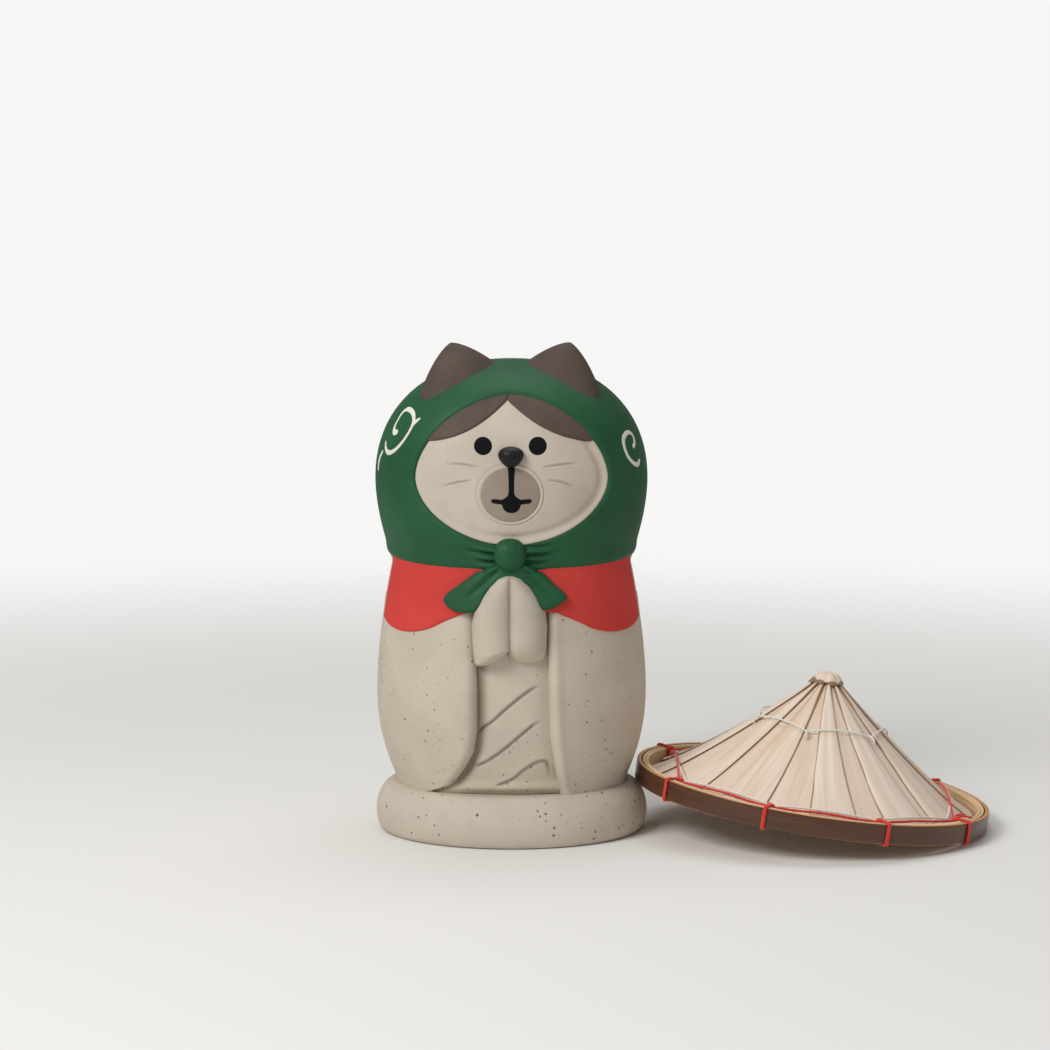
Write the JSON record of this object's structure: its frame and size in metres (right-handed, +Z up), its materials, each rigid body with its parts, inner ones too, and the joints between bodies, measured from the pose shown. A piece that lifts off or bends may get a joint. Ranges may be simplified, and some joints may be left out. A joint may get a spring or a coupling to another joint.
{
  "type": "cat figurine",
  "caption": "Praying cat figurine in a tied green hood and a red bib on a round plinth, with a loose conical leaf hat resting against it.",
  "frame": {"origin": "centre of the plinth's flat underside", "axes": "+Z up, the cat faces -Y, +X towards the hat, which lies at the viewer's right"},
  "size_m": [0.1554, 0.09, 0.1232],
  "materials": {
    "stone": "cast resin painted as warm grey stone, matt, with small dark pits",
    "hood_green": "matt to satin green paint",
    "bib_red": "matt coral red paint",
    "fur_brown": "matt grey brown paint",
    "face_cream": "matt cream paint",
    "muzzle_taupe": "matt taupe paint",
    "ink_black": "satin black paint",
    "swirl_white": "matt off-white paint, thin lines on the green",
    "bamboo_dark": "stained split bamboo, satin",
    "bamboo_light": "plain split bamboo, matt",
    "leaf": "dried pale leaf with fine lengthwise grain and browned edges",
    "thread_red": "twisted red cotton thread",
    "thread_white": "twisted white cotton thread"
  },
  "bodies": {
    "figurine": {"plinth": "stone", "robe": "stone", "sleeve_left": "stone", "sleeve_right": "stone", "bib": "bib_red", "hood": "hood_green", "face": "face_cream", "hair_left": "fur_brown", "hair_right": "fur_brown", "eye_left": "ink_black", "eye_right": "ink_black", "muzzle": "muzzle_taupe", "mouth": "ink_black", "nose": "ink_black", "ear_left": "fur_brown", "ear_right": "fur_brown", "knot": "hood_green", "paw_left": "stone", "paw_right": "stone", "tail_left": "hood_green", "tail_right": "hood_green"},
    "hat": {"hoop_outer": "bamboo_dark", "hoop_inner": "bamboo_light", "leaf_01": "leaf", "leaf_02": "leaf", "leaf_03": "leaf", "leaf_04": "leaf", "leaf_05": "leaf", "leaf_06": "leaf", "leaf_07": "leaf", "leaf_08": "leaf", "leaf_09": "leaf", "leaf_10": "leaf", "leaf_11": "leaf", "leaf_12": "leaf", "leaf_13": "leaf", "leaf_14": "leaf", "leaf_15": "leaf", "leaf_16": "leaf", "leaf_17": "leaf", "leaf_18": "leaf", "leaf_19": "leaf", "leaf_20": "leaf", "leaf_21": "leaf", "leaf_22": "leaf", "leaf_23": "leaf", "leaf_24": "leaf", "hat_peak": "leaf", "ring_upper": "bamboo_light", "ring_lower": "bamboo_light", "thread_red": "thread_red", "thread_white_lower": "thread_white", "thread_white_upper": "thread_white"}
  },
  "joints": [
    {"name": "hat_lift", "type": "slide", "parent": "figurine", "child": "hat", "axis": [0.2079, 0, 0.9781], "range_m": [0, 0.12]}
  ]
}
